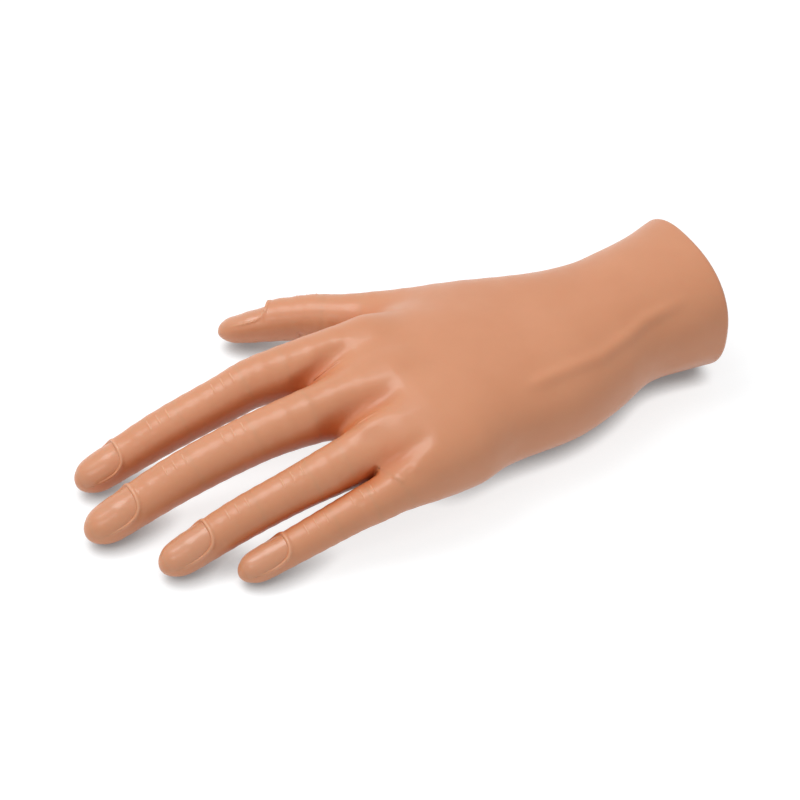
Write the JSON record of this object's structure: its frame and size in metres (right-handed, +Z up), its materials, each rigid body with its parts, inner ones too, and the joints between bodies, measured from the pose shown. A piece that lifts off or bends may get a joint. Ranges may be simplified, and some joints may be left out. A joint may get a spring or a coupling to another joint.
{
  "type": "nail practice hand",
  "caption": "Life-size bendable left practice hand, palm down, with soft skin, wired fingers, slide-out nails and a plugged wrist.",
  "frame": {"origin": "on the ground under the middle of the hand's bounding box", "axes": "+X from the fingers to the wrist, +Y to the thumb side, +Z up from the palm to the back of the hand"},
  "size_m": [0.2268, 0.1238, 0.0468],
  "materials": {
    "skin": "soft glossy peach-tan PVC, slightly translucent",
    "nail": "hard glossy nail in the skin's colour",
    "wire": "soft annealed aluminium wire",
    "sleeve": "crimped brass sleeve",
    "foam": "open soft polyurethane foam",
    "plug": "plain moulded plastic, satin"
  },
  "bodies": {
    "palm": {"palm_skin": "skin", "foam_core": "foam", "wire_ferrule": "sleeve", "thumb_wire": "wire", "index_wire": "wire", "middle_wire": "wire", "ring_wire": "wire", "little_wire": "wire"},
    "plug": {"wrist_plug": "plug"},
    "thumb_base": {"thumb_base_skin": "skin"},
    "thumb_tip": {"thumb_tip_skin": "skin"},
    "thumb_nail": {"thumb_nail": "nail"},
    "index_base": {"index_base_skin": "skin"},
    "index_middle": {"index_middle_skin": "skin"},
    "index_tip": {"index_tip_skin": "skin"},
    "index_nail": {"index_nail": "nail"},
    "middle_base": {"middle_base_skin": "skin"},
    "middle_middle": {"middle_middle_skin": "skin"},
    "middle_tip": {"middle_tip_skin": "skin"},
    "middle_nail": {"middle_nail": "nail"},
    "ring_base": {"ring_base_skin": "skin"},
    "ring_middle": {"ring_middle_skin": "skin"},
    "ring_tip": {"ring_tip_skin": "skin"},
    "ring_nail": {"ring_nail": "nail"},
    "little_base": {"little_base_skin": "skin"},
    "little_middle": {"little_middle_skin": "skin"},
    "little_tip": {"little_tip_skin": "skin"},
    "little_nail": {"little_nail": "nail"}
  },
  "joints": [
    {"name": "wrist_plug_slide", "type": "slide", "parent": "palm", "child": "plug", "axis": [1, 0, 0], "range_m": [0, 0.015]},
    {"name": "thumb_root_bend", "type": "hinge", "parent": "palm", "child": "thumb_base", "pos_m": [0.00433, 0.03479, 0.01548], "axis": [-0.509, -0.6087, 0.6087], "range_deg": [-12, 30], "deforming": ["thumb_wire"]},
    {"name": "thumb_end_bend", "type": "hinge", "parent": "thumb_base", "child": "thumb_tip", "pos_m": [-0.0102, 0.04515, 0.01313], "axis": [-0.4957, -0.6141, 0.6141], "range_deg": [-8, 35], "deforming": ["thumb_wire"]},
    {"name": "thumb_nail_slide", "type": "slide", "parent": "thumb_tip", "child": "thumb_nail", "axis": [-0.8577, 0.493, -0.1456], "range_m": [0, 0.012]},
    {"name": "index_root_bend", "type": "hinge", "parent": "palm", "child": "index_base", "pos_m": [-0.04042, 0.00674, 0.02632], "axis": [-0.057, -0.9984, 0], "range_deg": [-12, 30], "deforming": ["index_wire"]},
    {"name": "index_middle_bend", "type": "hinge", "parent": "index_base", "child": "index_middle", "pos_m": [-0.05535, 0.00723, 0.02259], "axis": [-0.0271, -0.9996, 0], "range_deg": [-8, 45], "deforming": ["index_wire"]},
    {"name": "index_end_bend", "type": "hinge", "parent": "index_middle", "child": "index_tip", "pos_m": [-0.07839, 0.00771, 0.01555], "axis": [0.0016, -1, 0], "range_deg": [-8, 35], "deforming": ["index_wire"]},
    {"name": "index_nail_slide", "type": "slide", "parent": "index_tip", "child": "index_nail", "axis": [-0.9721, -0.0238, -0.2334], "range_m": [0, 0.012]},
    {"name": "middle_root_bend", "type": "hinge", "parent": "palm", "child": "middle_base", "pos_m": [-0.04252, -0.01665, 0.0255], "axis": [-0.0396, -0.9992, 0], "range_deg": [-12, 30], "deforming": ["middle_wire"]},
    {"name": "middle_middle_bend", "type": "hinge", "parent": "middle_base", "child": "middle_middle", "pos_m": [-0.06181, -0.0151, 0.02086], "axis": [-0.0473, -0.9989, 0], "range_deg": [-8, 45], "deforming": ["middle_wire"]},
    {"name": "middle_end_bend", "type": "hinge", "parent": "middle_middle", "child": "middle_tip", "pos_m": [-0.08276, -0.01481, 0.01485], "axis": [0.019, -0.9998, 0], "range_deg": [-8, 35], "deforming": ["middle_wire"]},
    {"name": "middle_nail_slide", "type": "slide", "parent": "middle_tip", "child": "middle_nail", "axis": [-0.975, -0.0511, -0.2164], "range_m": [0, 0.012]},
    {"name": "ring_root_bend", "type": "hinge", "parent": "palm", "child": "ring_base", "pos_m": [-0.03816, -0.03965, 0.02219], "axis": [0.0509, -0.9987, 0], "range_deg": [-12, 30], "deforming": ["ring_wire"]},
    {"name": "ring_middle_bend", "type": "hinge", "parent": "ring_base", "child": "ring_middle", "pos_m": [-0.0511, -0.03931, 0.01872], "axis": [-0.021, -0.9998, 0], "range_deg": [-8, 45], "deforming": ["ring_wire"]},
    {"name": "ring_end_bend", "type": "hinge", "parent": "ring_middle", "child": "ring_tip", "pos_m": [-0.06992, -0.03901, 0.01325], "axis": [0.013, -0.9999, 0], "range_deg": [-8, 35], "deforming": ["ring_wire"]},
    {"name": "ring_nail_slide", "type": "slide", "parent": "ring_tip", "child": "ring_nail", "axis": [-0.9773, -0.041, -0.2079], "range_m": [0, 0.012]},
    {"name": "little_root_bend", "type": "hinge", "parent": "palm", "child": "little_base", "pos_m": [-0.02472, -0.05362, 0.0185], "axis": [0.3302, -0.9426, 0.0499], "range_deg": [-8, 30], "deforming": ["little_wire"]},
    {"name": "little_middle_bend", "type": "hinge", "parent": "little_base", "child": "little_middle", "pos_m": [-0.0343, -0.05324, 0.01566], "axis": [-0.0165, -0.9999, 0], "range_deg": [-8, 45], "deforming": ["little_wire"]},
    {"name": "little_end_bend", "type": "hinge", "parent": "little_middle", "child": "little_tip", "pos_m": [-0.04955, -0.05335, 0.01151], "axis": [-0.0009, -1, 0], "range_deg": [-8, 35], "deforming": ["little_wire"]},
    {"name": "little_nail_slide", "type": "slide", "parent": "little_tip", "child": "little_nail", "axis": [-0.9848, 0.0086, -0.1736], "range_m": [0, 0.012]}
  ]
}
